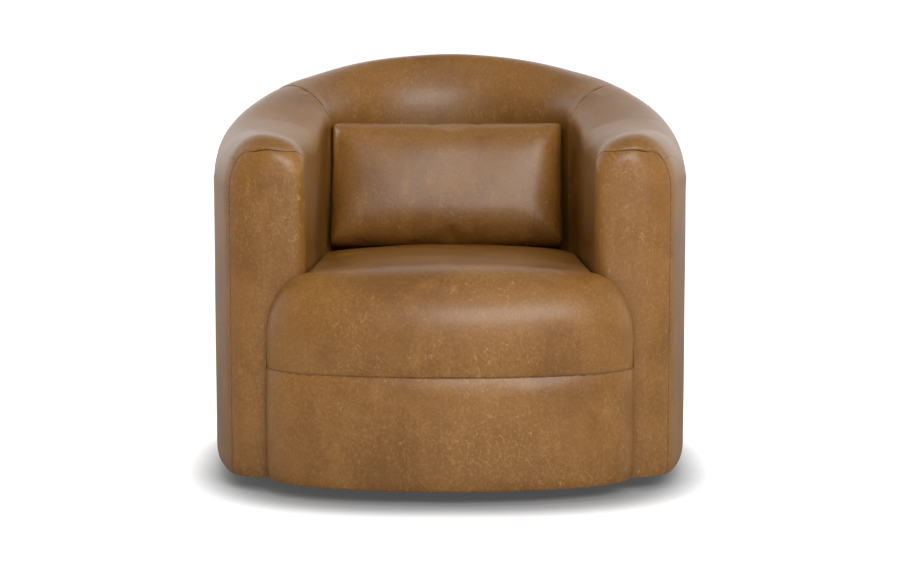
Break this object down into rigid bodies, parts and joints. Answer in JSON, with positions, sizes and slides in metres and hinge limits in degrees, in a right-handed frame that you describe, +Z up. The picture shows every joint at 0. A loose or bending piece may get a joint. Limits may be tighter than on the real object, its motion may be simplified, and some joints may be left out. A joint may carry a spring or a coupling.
{
  "type": "swivel armchair",
  "caption": "Barrel-shaped leather swivel armchair: round tub of arms and back, bowed seat and base front, loose lumbar pillow, recessed swivel plinth.",
  "frame": {"origin": "on the floor, on the swivel's axis, which is also the middle of the chair's plan", "axes": "+Z up, +Y to the chair's back, +X to the right of someone who looks at its front"},
  "size_m": [0.864, 0.864, 0.741],
  "materials": {
    "leather": "waxed pull-up leather, mid brown, crackled and scuffed, soft satin sheen",
    "foam": "cut foam wrapped in wadding",
    "plywood": "raw plywood",
    "timber": "sawn hardwood",
    "felt": "needled felt",
    "spring_steel": "drawn spring wire",
    "zinc_steel": "zinc plated",
    "black_cloth": "black spun dust cloth",
    "black_paint": "board painted matt black",
    "nylon": "moulded black nylon"
  },
  "bodies": {
    "plinth": {"floor_glide_1": "nylon", "floor_glide_2": "nylon", "floor_glide_3": "nylon", "floor_glide_4": "nylon", "plinth_disc": "black_paint", "lower_race": "zinc_steel", "swivel_bolt": "zinc_steel", "bolt_nut": "zinc_steel"},
    "bearing_cage": {"ball_cage": "nylon", "bearing_ball_1": "zinc_steel", "bearing_ball_2": "zinc_steel", "bearing_ball_3": "zinc_steel", "bearing_ball_4": "zinc_steel", "bearing_ball_5": "zinc_steel", "bearing_ball_6": "zinc_steel"},
    "chair": {"outside_cover": "leather", "inside_back_cover": "leather", "arm_cover_left": "leather", "arm_cover_right": "leather", "arm_front_panel_left": "leather", "arm_front_panel_right": "leather", "base_front_cover": "leather", "seat_cover": "leather", "back_foam": "foam", "arm_foam_left": "foam", "arm_foam_right": "foam", "arm_front_pad_left": "foam", "arm_front_pad_right": "foam", "base_front_padding": "foam", "seat_foam": "foam", "outer_panel": "plywood", "inner_back_board": "plywood", "inner_arm_board_left": "plywood", "inner_arm_board_right": "plywood", "bottom_board": "plywood", "base_front_board": "plywood", "back_top_rail": "timber", "arm_top_rail_left": "timber", "arm_top_rail_right": "timber", "arm_post_left": "timber", "arm_post_right": "timber", "back_post_left": "timber", "back_post_right": "timber", "seat_front_rail": "timber", "seat_back_rail": "timber", "seat_rail_left": "timber", "seat_rail_right": "timber", "deck_felt": "felt", "seat_spring_1": "spring_steel", "seat_spring_2": "spring_steel", "seat_spring_3": "spring_steel", "seat_spring_4": "spring_steel", "upper_race": "zinc_steel", "bolt_washer": "zinc_steel", "dust_cover": "black_cloth"},
    "pillow": {"pillow_front_cover": "leather", "pillow_back_cover": "leather", "pillow_fill": "foam"}
  },
  "joints": [
    {"name": "swivel", "type": "hinge", "parent": "plinth", "child": "chair", "pos_m": [0, 0, 0.03], "axis": [0, 0, 1], "continuous": true},
    {"name": "cage_turn", "type": "hinge", "parent": "plinth", "child": "bearing_cage", "pos_m": [0, 0, 0.03], "axis": [0, 0, 1], "continuous": true},
    {"name": "pillow_lift", "type": "slide", "parent": "chair", "child": "pillow", "axis": [0, 0, 1], "range_m": [0, 0.36]}
  ],
  "couplings": [
    {"joint": "cage_turn", "follows": "swivel", "ratio": 0.5}
  ]
}
